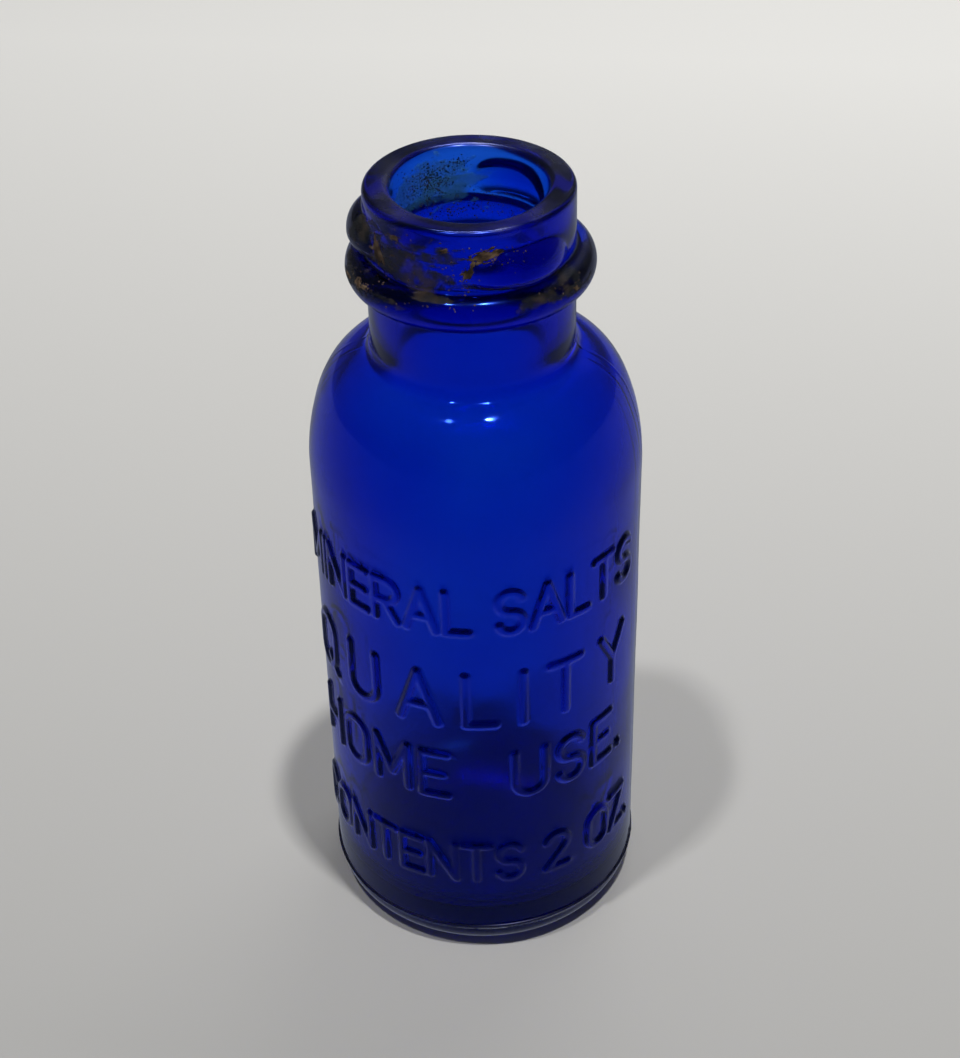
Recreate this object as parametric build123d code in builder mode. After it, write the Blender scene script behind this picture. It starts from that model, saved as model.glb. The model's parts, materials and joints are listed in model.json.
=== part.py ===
"""An old deep-blue glass bottle with a lugged finish, in millimetres.

The bottle is one piece of moulded glass. It is built here as the zones that its mould forms, each a
closed solid that meets its neighbours face to face. +Z is up, the front with the raised lettering
faces -Y, and the origin is the centre of the ring that the bottle stands on.
"""

import math
import os

from build123d import *

# ---- body: sizes that are set by themselves
body_radius = 20.0
wall_thickness = 2.4
heel_radius = 3.5
panel_top = 65.9  # height at which the straight wall ends and the shoulder starts

# ---- shoulder: a slow arc, then a tight one, then a small hollow arc into the neck
shoulder_side_radius = 26.0
shoulder_side_angle = 22.0
shoulder_top_radius = 9.0
shoulder_hollow_radius = 2.0
neck_entry_radius = 3.0  # rounding of the hollow inside, where the shoulder narrows to the bore

# ---- base
base_thickness = 4.6
base_corner_radius = 4.0  # rounding inside, between floor and wall
pushup_depth = 1.1
rest_ring_width = 2.2
seam_above_heel = 0.4
seam_width = 0.5
seam_relief = 0.22

# ---- neck, ring and finish
bore_radius = 8.8
neck_wall = 3.15  # the neck and the finish have the same wall round the bore
neck_length = 9.6  # from the end of the shoulder to the middle of the ring
finish_length = 9.7  # from the middle of the ring to the mouth
bead_radius = 2.15
bead_relief = 2.25  # how far the ring stands out of the neck
lip_height = 1.3
lip_outer_radius = 0.7
lip_inner_radius = 0.9

# ---- three thread lugs for the lost metal cap
lug_names = ("right", "rear", "left")
first_lug_angle = 37.0  # from the front, towards +X
lug_half_angle = 31.0
lug_height = 4.4
lug_relief = 1.9
lug_underside_flat = 1.1
lug_nose_share = 0.36  # height of the lug's furthest point as a share of the lug's height
lug_bead_gap = 0.35

# ---- raised lettering: (text, letter height, gap between letters as a share of the height)
lettering = (
    ("MINERAL SALTS", 5.8, 0.20),
    ("QUALITY", 7.6, 0.46),
    ("HOME  USE.", 6.8, 0.28),
    ("CONTENTS 2 OZ.", 5.8, 0.19),
)
lettering_top_margin = 6.6
lettering_bottom_margin = 4.2
line_gap_shares = (0.33, 0.25, 0.42)
stroke_share = 0.16  # stroke width over letter height
half_cell_share = 0.28  # half a usual letter's width over letter height
letter_relief = 0.35

# ---- mould parting lines, on both sides of the lettering
mould_seam_width = 0.45
mould_seam_relief = 0.12

# ---- foreign matter stuck to the glass
crust_thickness = 0.18
residue_thickness = 0.06

# ---- sizes that follow
inner_radius = body_radius - wall_thickness
neck_radius = bore_radius + neck_wall
finish_radius = neck_radius
punch_depth = wall_thickness  # how far a flat outline is pushed before it is cut to the round wall
heel_seam_z = heel_radius + seam_above_heel
base_top = base_thickness + base_corner_radius
rest_ring_outer = body_radius - heel_radius
pushup_radius = rest_ring_outer - rest_ring_width

side_angle = math.radians(shoulder_side_angle)
side_centre = (body_radius - shoulder_side_radius, panel_top)
side_end = (
    side_centre[0] + shoulder_side_radius * math.cos(side_angle),
    side_centre[1] + shoulder_side_radius * math.sin(side_angle),
)
top_centre = (
    side_end[0] - shoulder_top_radius * math.cos(side_angle),
    side_end[1] - shoulder_top_radius * math.sin(side_angle),
)
hollow_r = neck_radius + shoulder_hollow_radius
hollow_rise = math.sqrt(
    (shoulder_top_radius + shoulder_hollow_radius) ** 2 - (hollow_r - top_centre[0]) ** 2
)
shoulder_top = top_centre[1] + hollow_rise
hollow_angle = math.degrees(math.atan2(hollow_rise, hollow_r - top_centre[0]))
bead_z = shoulder_top + neck_length
bead_core = neck_radius + bead_relief - bead_radius  # radius of the ring's centre line
mouth_z = bead_z + finish_length
lip_z = mouth_z - lip_height
lug_z = bead_z + bead_radius + lug_bead_gap + lug_height / 2
lettering_low = base_top + lettering_bottom_margin
lettering_high = panel_top - lettering_top_margin


def front(angle, radius, z=0.0):
    """A point at an angle from the front, turning towards +X."""
    turn = math.radians(angle)
    return (radius * math.sin(turn), -radius * math.cos(turn), z)


def facing(angle, radius, z):
    """A plane that touches a cylinder at that angle, with its normal outward and its Y up."""
    turn = math.radians(angle)
    return Plane(
        origin=front(angle, radius, z),
        x_dir=(math.cos(turn), math.sin(turn), 0),
        z_dir=(math.sin(turn), -math.cos(turn), 0),
    )


def save(piece, name):
    """Labels a finished piece and writes it."""
    piece.part.label = name
    export_step(piece.part, f"parts/{name}.step")
    print(name, len(piece.part.solids()), "solid(s)", round(piece.part.volume, 1), "mm3")


def shoulder_outline(inset):
    """Draws the three arcs of the shoulder, moved inward by a wall; returns its two ends.

    The outside is drawn with no inset. The inside keeps the same centres, so the wall stays even
    up to the small hollow, and there it thickens to the bore.
    """
    side = CenterArc(side_centre, shoulder_side_radius - inset, 0, shoulder_side_angle)
    if inset == 0:
        top_sweep = hollow_angle - shoulder_side_angle
        CenterArc(top_centre, shoulder_top_radius, shoulder_side_angle, top_sweep)
        CenterArc((hollow_r, shoulder_top), shoulder_hollow_radius, 180, hollow_angle)
        return side @ 0, (neck_radius, shoulder_top)
    # inside: the tight arc runs until the rounding into the bore touches it
    top_inner = shoulder_top_radius - inset
    entry_r = bore_radius + neck_entry_radius
    reach = entry_r - top_centre[0]
    entry_rise = math.sqrt((top_inner + neck_entry_radius) ** 2 - reach**2)
    entry_angle = math.degrees(math.atan2(entry_rise, reach))
    CenterArc(top_centre, top_inner, shoulder_side_angle, entry_angle - shoulder_side_angle)
    entry_z = top_centre[1] + entry_rise
    CenterArc((entry_r, entry_z), neck_entry_radius, 180, entry_angle)
    return side @ 0, (bore_radius, entry_z)


os.makedirs("parts", exist_ok=True)

# ---- base: thick floor, rounded heel, shallow push-up, rounded inner corner
with BuildPart() as base:
    with BuildSketch(Plane.XZ):
        with BuildLine():
            dome = TangentArc((0, pushup_depth), (pushup_radius, 0), tangent=(1, 0))
            foot = Line(dome @ 1, (rest_ring_outer, 0))
            heel = CenterArc((rest_ring_outer, heel_radius), heel_radius, -90, 90)
            wall = Line(heel @ 1, (body_radius, base_top))
            rim = Line(wall @ 1, (inner_radius, base_top))
            corner_centre = (inner_radius - base_corner_radius, base_top)
            corner = CenterArc(corner_centre, base_corner_radius, 0, -90)
            floor = Line(corner @ 1, (0, base_thickness))
            Line(floor @ 1, dome @ 0)
        make_face()
    revolve(axis=Axis.Z)
save(base, "base")

# ---- straight wall
with BuildPart() as body_wall:
    with BuildSketch(Plane.XY.offset(base_top)):
        Circle(body_radius)
        Circle(inner_radius, mode=Mode.SUBTRACT)
    extrude(amount=panel_top - base_top)
save(body_wall, "body_wall")

# ---- shoulder
with BuildPart() as shoulder:
    with BuildSketch(Plane.XZ):
        with BuildLine():
            outer_start, outer_end = shoulder_outline(0)
            inner_start, inner_end = shoulder_outline(wall_thickness)
            Line(outer_start, inner_start)
            Polyline(inner_end, (bore_radius, shoulder_top), outer_end)
        make_face()
    revolve(axis=Axis.Z)
save(shoulder, "shoulder")

# ---- neck, from the shoulder to the middle of the ring
with BuildPart() as neck:
    with BuildSketch(Plane.XY.offset(shoulder_top)):
        Circle(neck_radius)
        Circle(bore_radius, mode=Mode.SUBTRACT)
    extrude(amount=neck_length)
save(neck, "neck")

# ---- finish wall, from the middle of the ring to the lip
with BuildPart() as finish_wall:
    with BuildSketch(Plane.XY.offset(bead_z)):
        Circle(finish_radius)
        Circle(bore_radius, mode=Mode.SUBTRACT)
    extrude(amount=lip_z - bead_z)
save(finish_wall, "finish_wall")

# ---- lip, rounded outside and inside
with BuildPart() as lip:
    with BuildSketch(Plane.XY.offset(lip_z)):
        Circle(finish_radius)
        Circle(bore_radius, mode=Mode.SUBTRACT)
    extrude(amount=mouth_z - lip_z)
    fillet(lip.edges().group_by(Axis.Z)[-1].sort_by(SortBy.RADIUS)[-1], lip_outer_radius)
    fillet(lip.edges().group_by(Axis.Z)[-1].sort_by(SortBy.RADIUS)[0], lip_inner_radius)
save(lip, "lip")

# ---- ring below the finish, seated on both the neck and the finish wall
with BuildPart() as transfer_bead:
    with BuildSketch(Plane.XZ):
        with Locations((bead_core, bead_z)):
            Circle(bead_radius)
            Rectangle(bead_core, bead_radius * 2, align=(Align.MAX, Align.CENTER))
        with Locations((0, bead_z)):
            Rectangle(neck_radius, bead_radius * 2, align=(Align.MIN, Align.MAX), mode=Mode.SUBTRACT)
            Rectangle(finish_radius, bead_radius * 2, align=(Align.MIN, Align.MIN), mode=Mode.SUBTRACT)
    revolve(axis=Axis.Z)
save(transfer_bead, "transfer_bead")

# ---- thread lugs: a ring segment about an axis of its own, so that both ends run out into the wall
tip_radius = finish_radius + lug_relief
half = math.radians(lug_half_angle)
# the lug's outer circle crosses the finish wall at its half angle
lug_offset = (tip_radius**2 - finish_radius**2) / (2 * (tip_radius - finish_radius * math.cos(half)))
lug_tip = tip_radius - lug_offset
lugs = []
for number, lug_name in enumerate(lug_names):
    lug_angle = first_lug_angle + number * 360 / len(lug_names)
    lug_axis = Axis(front(lug_angle, lug_offset), (0, 0, 1))
    lug_plane = Plane(
        origin=front(lug_angle, lug_offset, lug_z),
        x_dir=front(lug_angle, 1),
        z_dir=Vector(*front(lug_angle, 1)).cross(Vector(0, 0, 1)),
    )
    with BuildPart() as cap_lug:
        with BuildSketch(lug_plane):
            with BuildLine():
                low = -lug_height / 2
                underside = Line((0, low), (lug_tip - lug_relief + lug_underside_flat, low))
                nose = TangentArc(underside @ 1, (lug_tip, low + lug_height * lug_nose_share), tangent=(1, 0))
                back = TangentArc(nose @ 1, (lug_tip - lug_relief, -low), tangent=nose % 1)
                Polyline(back @ 1, (0, -low), (0, low))
            make_face()
        revolve(axis=lug_axis)
        with BuildSketch(Plane.XY.offset(lug_z - lug_height)):
            Circle(finish_radius)
        extrude(amount=lug_height * 2, mode=Mode.SUBTRACT)
    lugs.append(cap_lug.part)
    save(cap_lug, f"cap_lug_{lug_name}")

# ---- thin ring where the base plate met the body mould
with BuildPart() as heel_seam:
    with BuildSketch(Plane.XZ):
        with Locations((body_radius, heel_seam_z)):
            Ellipse(seam_relief, seam_width / 2)
        with Locations((0, heel_seam_z)):
            Rectangle(body_radius, seam_width * 2, align=(Align.MIN, Align.CENTER), mode=Mode.SUBTRACT)
    revolve(axis=Axis.Z)
save(heel_seam, "heel_seam")

# ---- parting lines of the two mould halves, up the wall on both sides
for side_name, seam_angle in (("right", 90), ("left", -90)):
    seam_low = heel_seam_z + seam_width
    with BuildPart() as mould_seam:
        with BuildSketch(facing(seam_angle, body_radius - punch_depth / 2, seam_low)):
            Rectangle(mould_seam_width, panel_top - seam_low, align=(Align.CENTER, Align.MIN))
        extrude(amount=punch_depth)
        with BuildSketch(Plane.XY.offset(seam_low)):
            Circle(body_radius + mould_seam_relief)
            Circle(body_radius, mode=Mode.SUBTRACT)
        extrude(amount=panel_top - seam_low, mode=Mode.INTERSECT)
    save(mould_seam, f"mould_seam_{side_name}")


# ---- lettering: each letter is a few straight or round strokes, drawn one unit high
def line(*points):
    """Straight strokes from point to point."""
    return [("line", start, end) for start, end in zip(points, points[1:])]


def bow(x, y, radius, start, sweep):
    """One round stroke about a centre."""
    return [("bow", (x, y, radius), (start, sweep))]


round_top = bow(0.29, 0.71, 0.29, 0, 180)
round_bottom = bow(0.29, 0.29, 0.29, 180, 180)
oval = round_top + line((0, 0.71), (0, 0.29)) + round_bottom + line((0.58, 0.29), (0.58, 0.71))
letters = {  # letter: (width, strokes)
    "A": (0.64, line((0, 0), (0.32, 1), (0.64, 0)) + line((0.11, 0.34), (0.53, 0.34))),
    "C": (
        0.56,
        bow(0.29, 0.71, 0.29, 20, 160) + line((0, 0.71), (0, 0.29)) + bow(0.29, 0.29, 0.29, 180, 160),
    ),
    "E": (0.48, line((0.48, 1), (0, 1), (0, 0), (0.48, 0)) + line((0, 0.5), (0.4, 0.5))),
    "H": (0.56, line((0, 0), (0, 1)) + line((0.56, 0), (0.56, 1)) + line((0, 0.5), (0.56, 0.5))),
    "I": (0.0, line((0, 0), (0, 1))),
    "L": (0.46, line((0, 1), (0, 0), (0.46, 0))),
    "M": (0.68, line((0, 0), (0, 1), (0.34, 0.25), (0.68, 1), (0.68, 0))),
    "N": (0.58, line((0, 0), (0, 1), (0.58, 0), (0.58, 1))),
    "O": (0.58, oval),
    "Q": (0.62, oval + line((0.36, 0.24), (0.62, -0.04))),
    "R": (
        0.54,
        line((0.28, 0.48), (0, 0.48))
        + line((0, 0), (0, 1), (0.28, 1))
        + bow(0.28, 0.74, 0.26, -90, 180)
        + line((0.26, 0.48), (0.54, 0)),
    ),
    "S": (0.52, bow(0.26, 0.75, 0.25, 20, 250) + bow(0.26, 0.25, 0.25, -160, 250)),
    "T": (0.56, line((0, 1), (0.56, 1)) + line((0.28, 1), (0.28, 0))),
    "U": (0.58, line((0, 1), (0, 0.29)) + round_bottom + line((0.58, 0.29), (0.58, 1))),
    "Y": (0.6, line((0, 1), (0.3, 0.48), (0.6, 1)) + line((0.3, 0.48), (0.3, 0))),
    "Z": (0.54, line((0, 1), (0.54, 1), (0, 0), (0.54, 0))),
    "2": (0.54, bow(0.26, 0.74, 0.26, -35, 200) + line((0.473, 0.591), (0, 0), (0.54, 0))),
    ".": (0.0, line((0, 0), (0, 0.05))),
    " ": (0.2, []),
}


def placed(text, height, gap):
    """Letters of one line with the distance of each left edge from the middle of the line."""
    width = sum(letters[sign][0] + gap for sign in text) - gap
    along = -width / 2
    for sign in text:
        yield letters[sign][1], along * height
        along += letters[sign][0] + gap


def draw_stroke(stroke, left, height, width):
    """Draws one stroke with round ends."""
    kind, first, second = stroke
    if kind == "line":
        ends = [Vector(left + x * height, y * height) for x, y in (first, second)]
        middle = (ends[0] + ends[1]) * 0.5
        run = ends[1] - ends[0]
        with Locations(middle):
            SlotCenterToCenter(run.length, width, math.degrees(math.atan2(run.Y, run.X)))
        return
    x, y, radius = first
    centre = (left + x * height, y * height)
    start, sweep = second
    SlotArc(Edge.make_circle(radius * height, Plane(centre), start, start + sweep), width)


free_height = lettering_high - lettering_low - sum(row[1] for row in lettering)
baseline = lettering_high
for number, (text, letter_height, letter_gap) in enumerate(lettering):
    baseline -= letter_height
    stroke_width = letter_height * stroke_share
    with BuildPart() as lettering_line:
        for strokes, left_edge in placed(text, letter_height, letter_gap):
            if not strokes:
                continue
            half_cell = letter_height * half_cell_share
            angle = math.degrees((left_edge + half_cell) / body_radius)
            with BuildSketch(facing(angle, body_radius - punch_depth / 2, baseline)):
                for stroke in strokes:
                    draw_stroke(stroke, -half_cell, letter_height, stroke_width)
            extrude(amount=punch_depth)
        with BuildSketch(Plane.XY.offset(baseline - letter_height / 2)):
            Circle(body_radius + letter_relief)
            Circle(body_radius, mode=Mode.SUBTRACT)
        extrude(amount=letter_height * 2, mode=Mode.INTERSECT)
    save(lettering_line, f"lettering_line_{number + 1}")
    if number < len(line_gap_shares):
        baseline -= free_height * line_gap_shares[number]


# ---- foreign matter: thin flakes, each (angle, height, width, tallness, tilt) on its surface
finish_flakes = (
    (7, bead_z + 4.5, 3.0, 0.9, 65),
    (19, bead_z + 6.4, 4.6, 0.9, 18),
    (-49, bead_z + 5.2, 1.2, 3.6, 8),
)
with BuildPart() as rust_on_finish:
    for angle, z, across, tall, tilt in finish_flakes:
        with BuildSketch(facing(angle, bore_radius, z)):
            Ellipse(across / 2, tall / 2, rotation=tilt)
        extrude(amount=finish_radius)
    with BuildSketch(Plane.XY.offset(bead_z)):
        Circle(finish_radius + crust_thickness)
        Circle(finish_radius, mode=Mode.SUBTRACT)
    extrude(amount=finish_length, mode=Mode.INTERSECT)
    add(lugs, mode=Mode.SUBTRACT)
save(rust_on_finish, "rust_on_finish")

bead_flakes = (
    (-56, bead_z + 0.6, 2.6, 1.2, 5),
    (-42, bead_z + 0.9, 1.8, 1.1, 0),
    (58, bead_z + 0.5, 4.6, 1.9, -6),
)
with BuildPart() as rust_on_bead:
    for angle, z, across, tall, tilt in bead_flakes:
        with BuildSketch(facing(angle, bead_core, z)):
            Ellipse(across / 2, tall / 2, rotation=tilt)
        extrude(amount=bead_radius * 2)
    with BuildSketch(Plane.XZ):
        with Locations((bead_core, bead_z)):
            Circle(bead_radius + crust_thickness)
            Circle(bead_radius, mode=Mode.SUBTRACT)
        with Locations((0, bead_z)):
            Rectangle(bead_core, bead_radius * 3, align=(Align.MIN, Align.CENTER), mode=Mode.SUBTRACT)
    revolve(axis=Axis.Z, mode=Mode.INTERSECT)
save(rust_on_bead, "rust_on_bead")

residue_flakes = (
    (-136, bead_z + 5.4, 7.0, 4.6, 10),
    (-166, bead_z + 7.2, 0.8, 0.8, 0),
    (-152, bead_z + 1.6, 8.0, 1.2, -4),
)
with BuildPart() as mouth_residue:
    for angle, z, across, tall, tilt in residue_flakes:
        with BuildSketch(facing(angle, bore_radius / 2, z)):
            Ellipse(across / 2, tall / 2, rotation=tilt)
        extrude(amount=bore_radius)
    with BuildSketch(Plane.XY.offset(bead_z)):
        Circle(bore_radius)
        Circle(bore_radius - residue_thickness, mode=Mode.SUBTRACT)
    extrude(amount=lip_z - bead_z, mode=Mode.INTERSECT)
save(mouth_residue, "mouth_residue")
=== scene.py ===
# %% [markdown]
# # An old blue glass bottle
#
# This lesson dresses a small antique medicine bottle: deep cobalt glass, a round body with raised
# lettering, a short neck with a ring, and a mouth with three thread lugs for a metal cap that is
# long gone. The measured solids come first, as a fixed frame. Every new piece takes its place and
# its radius from them, so nothing has to be fitted by eye.

# %% Load the measured bottle
import json
import math
import random

import bmesh
import bpy
from mathutils import Matrix, Vector, noise
from mathutils.bvhtree import BVHTree


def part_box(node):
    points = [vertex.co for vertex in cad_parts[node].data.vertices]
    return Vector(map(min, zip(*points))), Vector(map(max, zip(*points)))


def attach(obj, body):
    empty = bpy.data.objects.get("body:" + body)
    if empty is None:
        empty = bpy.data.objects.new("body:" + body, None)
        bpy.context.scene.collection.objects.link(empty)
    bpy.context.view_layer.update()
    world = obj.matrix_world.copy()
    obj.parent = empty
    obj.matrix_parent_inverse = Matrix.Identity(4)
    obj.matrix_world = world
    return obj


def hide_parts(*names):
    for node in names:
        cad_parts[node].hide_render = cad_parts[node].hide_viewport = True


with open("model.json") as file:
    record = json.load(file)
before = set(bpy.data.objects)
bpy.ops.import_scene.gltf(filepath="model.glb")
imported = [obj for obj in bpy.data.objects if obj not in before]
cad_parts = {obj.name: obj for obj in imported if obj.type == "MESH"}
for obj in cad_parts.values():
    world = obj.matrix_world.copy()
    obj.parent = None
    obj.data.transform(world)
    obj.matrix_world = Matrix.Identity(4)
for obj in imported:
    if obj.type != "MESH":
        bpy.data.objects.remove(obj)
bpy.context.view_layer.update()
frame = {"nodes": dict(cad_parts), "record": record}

MM = 0.001

# %% [markdown]
# ## The camera
#
# The bottle is seen from a little over arm's height, looking down at it, with a long lens. The
# lettering's middle faces -Y, and the viewer stands a few degrees to its right. A small roll is
# kept, because nobody holds a camera quite level. The lens shift stays at zero: aiming the camera
# does the framing, and then every other view of the bottle is framed as well as this one.

# %% Place the camera
VIEW_TURN = math.radians(8.0)
VIEW_PITCH = math.radians(37.47)
VIEW_DISTANCE = 262.6 * MM
VIEW_ROLL = math.radians(-1.39)
PIVOT = Vector((0, 0, 50 * MM))
AIM = Vector((0.3 * MM, 0, 53.8 * MM))
LENS = 71.46  # focal length in mm, for a 36 mm wide frame
NEAREST_SEEN = 10 * MM

camera_data = bpy.data.cameras.new("viewer")
camera = bpy.data.objects.new("viewer", camera_data)
bpy.context.scene.collection.objects.link(camera)
level = VIEW_DISTANCE * math.cos(VIEW_PITCH)
camera.location = PIVOT + Vector(
    (level * math.sin(VIEW_TURN), -level * math.cos(VIEW_TURN), VIEW_DISTANCE * math.sin(VIEW_PITCH))
)
facing = (AIM - camera.location).to_track_quat("-Z", "Y")
camera.rotation_euler = (facing.to_matrix() @ Matrix.Rotation(VIEW_ROLL, 3, "Z")).to_euler()
camera_data.lens = LENS
camera_data.clip_start = NEAREST_SEEN
bpy.context.scene.camera = camera
print("camera at", [round(c / MM) for c in camera.location], "mm")

# %% [markdown]
# ## What the frame says
#
# The glass was blown in a mould, so all its zones share one axis. Each box of a measured node gives
# a radius or a height, and the mouth's bore is stated in the record. The few sizes that no box can
# tell, such as the wall and the arcs of the shoulder, are named here once.

# %% Read radii and heights
def reach(node):
    """Radius, lowest and highest point of a node that is round about the bottle's axis."""
    low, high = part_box(node)
    return (high[0] - low[0]) / 2, low[2], high[2]


body_r, base_top, panel_top = reach("body_wall")
neck_r, _, bead_z = reach("neck")
finish_r, _, _ = reach("finish_wall")
bead_outer_r, bead_low, bead_high = reach("transfer_bead")
mouth_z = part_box("lip")[1][2]
bead_r = (bead_high - bead_low) / 2
bead_core = bead_outer_r - bead_r
heel_seam_z = sum(reach("heel_seam")[1:]) / 2
mouth_bore = next(m for m in frame["record"]["mounts"] if m["name"] == "mouth_bore")
bore_r = mouth_bore["dims"]["r_mm"] * MM

wall = 2.4 * MM
heel_r = 3.5 * MM
pushup = 1.1 * MM  # height of the shallow dome under the base
ring_width = 2.2 * MM  # of the flat ring that the bottle stands on
floor_z = 4.6 * MM  # the inside's floor
side_r, side_turn = 26.0 * MM, 22.0  # the shoulder's slow arc, and how many degrees it turns
top_r, hollow_r, entry_r = 9.0 * MM, 2.0 * MM, 3.0 * MM  # its tight arc, and the two into the neck
lip_outer_r, lip_inner_r = 0.7 * MM, 0.9 * MM
print("body radius", round(body_r / MM, 2), "ring", round(bead_outer_r / MM, 2))
print("mouth at", round(mouth_z / MM, 1), "mm")

# %% [markdown]
# ## Drawing the glass as one wall
#
# The measured solids cut the glass into zones, and each cut is a face inside the glass. Light
# would bend at every one of them, so the look needs one skin all round: outside, over the lip, down
# the inside and across the floor. A lathe makes it. A single vertex is the pen: it is extruded
# for straight runs and spun about a centre for round ones, both in the plane of one half section.
# Then the whole line is spun about the bottle's axis.

# %% Pen strokes for a half section
def straight(bm, pen, r, z, steps):
    """Extrudes the pen in even steps to a radius and height."""
    step = (Vector((r, 0, z)) - pen.co) / steps
    for _ in range(steps):
        pen = bmesh.ops.extrude_vert_indiv(bm, verts=[pen])["verts"][0]
        bmesh.ops.translate(bm, verts=[pen], vec=step)
    return pen


def bend(bm, pen, centre, degrees, steps):
    """Spins the pen about a centre, from +X towards +Z when the angle is positive."""
    turned = bmesh.ops.spin(
        bm, geom=[pen], cent=(centre[0], 0, centre[1]), axis=(0, -1, 0),
        angle=math.radians(degrees), steps=steps, use_duplicate=False,
    )
    return next(v for v in turned["geom_last"] if isinstance(v, bmesh.types.BMVert))


def polar(centre, radius, degrees):
    turn = math.radians(degrees)
    return centre[0] + radius * math.cos(turn), centre[1] + radius * math.sin(turn)


def kiss(centre, radius, r, small):
    """Centre and angle of a small arc that touches both a circle and an upright wall at r."""
    across = r + small - centre[0]
    rise = math.sqrt((radius + small) ** 2 - across**2)
    return (r + small, centre[1] + rise), math.degrees(math.atan2(rise, across))


# %% Draw the section and spin it
side_centre = (body_r - side_r, panel_top)
top_centre = polar(polar(side_centre, side_r, side_turn), -top_r, side_turn)
hollow_centre, hollow_turn = kiss(top_centre, top_r, neck_r, hollow_r)
entry_centre, entry_turn = kiss(top_centre, top_r - wall, bore_r, entry_r)
nook = 0.6 * MM  # rounding where the ring meets the neck and the finish
bead_centre = (bead_core, bead_z)
nook_centre, nook_turn = kiss(bead_centre, bead_r, neck_r, nook)
nook_rise = nook_centre[1] - bead_z

foot_out = body_r - heel_r
foot_in = foot_out - ring_width
dome_r = (foot_in**2 + pushup**2) / (2 * pushup)
corner_r = base_top - floor_z

fine_band = 0.5 * MM  # finer rows each side of the base plate's seam

glass_bm = bmesh.new()
pen = bmesh.ops.create_vert(glass_bm, co=(0, 0, pushup))["vert"][0]
pen = bend(glass_bm, pen, (0, pushup - dome_r), -math.degrees(math.asin(foot_in / dome_r)), 9)
pen = straight(glass_bm, pen, foot_out, 0, 3)
pen = bend(glass_bm, pen, (foot_out, heel_r), 90, 12)
pen = straight(glass_bm, pen, body_r, heel_seam_z - fine_band, 3)
pen = straight(glass_bm, pen, body_r, heel_seam_z + fine_band, 10)
pen = straight(glass_bm, pen, body_r, panel_top, round((panel_top - heel_seam_z) / MM))
pen = bend(glass_bm, pen, side_centre, side_turn, 10)
pen = bend(glass_bm, pen, top_centre, hollow_turn - side_turn, 12)
pen = bend(glass_bm, pen, hollow_centre, -hollow_turn, 9)
pen = straight(glass_bm, pen, neck_r, bead_z - nook_rise, 7)
pen = bend(glass_bm, pen, (neck_r + nook, bead_z - nook_rise), nook_turn - 180, 5)
pen = bend(glass_bm, pen, bead_centre, 2 * nook_turn, 26)
pen = bend(glass_bm, pen, nook_centre, nook_turn - 180, 5)
pen = straight(glass_bm, pen, finish_r, mouth_z - lip_outer_r, 26)
pen = bend(glass_bm, pen, (finish_r - lip_outer_r, mouth_z - lip_outer_r), 90, 6)
pen = straight(glass_bm, pen, bore_r + lip_inner_r, mouth_z, 3)
pen = bend(glass_bm, pen, (bore_r + lip_inner_r, mouth_z - lip_inner_r), 90, 7)
pen = straight(glass_bm, pen, bore_r, entry_centre[1], 22)
pen = bend(glass_bm, pen, entry_centre, entry_turn, 8)
pen = bend(glass_bm, pen, top_centre, side_turn - entry_turn, 10)
pen = bend(glass_bm, pen, side_centre, -side_turn, 8)
pen = straight(glass_bm, pen, body_r - wall, base_top, 40)
pen = bend(glass_bm, pen, (body_r - wall - corner_r, base_top), -90, 10)
straight(glass_bm, pen, 0, floor_z, 10)
section_points = len(glass_bm.verts)

COLUMNS = 120
WELD = 1e-6
bmesh.ops.spin(
    glass_bm, geom=glass_bm.verts[:] + glass_bm.edges[:], cent=(0, 0, 0), axis=(0, 0, 1),
    angle=math.tau, steps=COLUMNS, use_merge=True, use_duplicate=False,
)
bmesh.ops.remove_doubles(glass_bm, verts=glass_bm.verts[:], dist=WELD)
bmesh.ops.recalc_face_normals(glass_bm, faces=glass_bm.faces[:])
print("section points", section_points, "faces", len(glass_bm.faces))

# %% [markdown]
# ## The lettering
#
# Raised letters are cut into the mould, so on the glass they are soft ridges that rise out of the
# wall with no edge of their own. The words here are plain ones. Each letter is a few straight or
# round strokes, one unit high. A point of the wall rises by how near it is to a stroke: all of it
# on the stroke, none of it half a millimetre away, and a smooth slope between. That keeps the wall
# one skin. Laying separate letters on it would put a layer of air, or a double face, under each.

# %% Strokes of the letters
def line(*points):
    return [("line", start, end) for start, end in zip(points, points[1:])]


def bow(x, y, radius, start, sweep):
    return [("bow", (x, y, radius), (start, sweep))]


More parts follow.
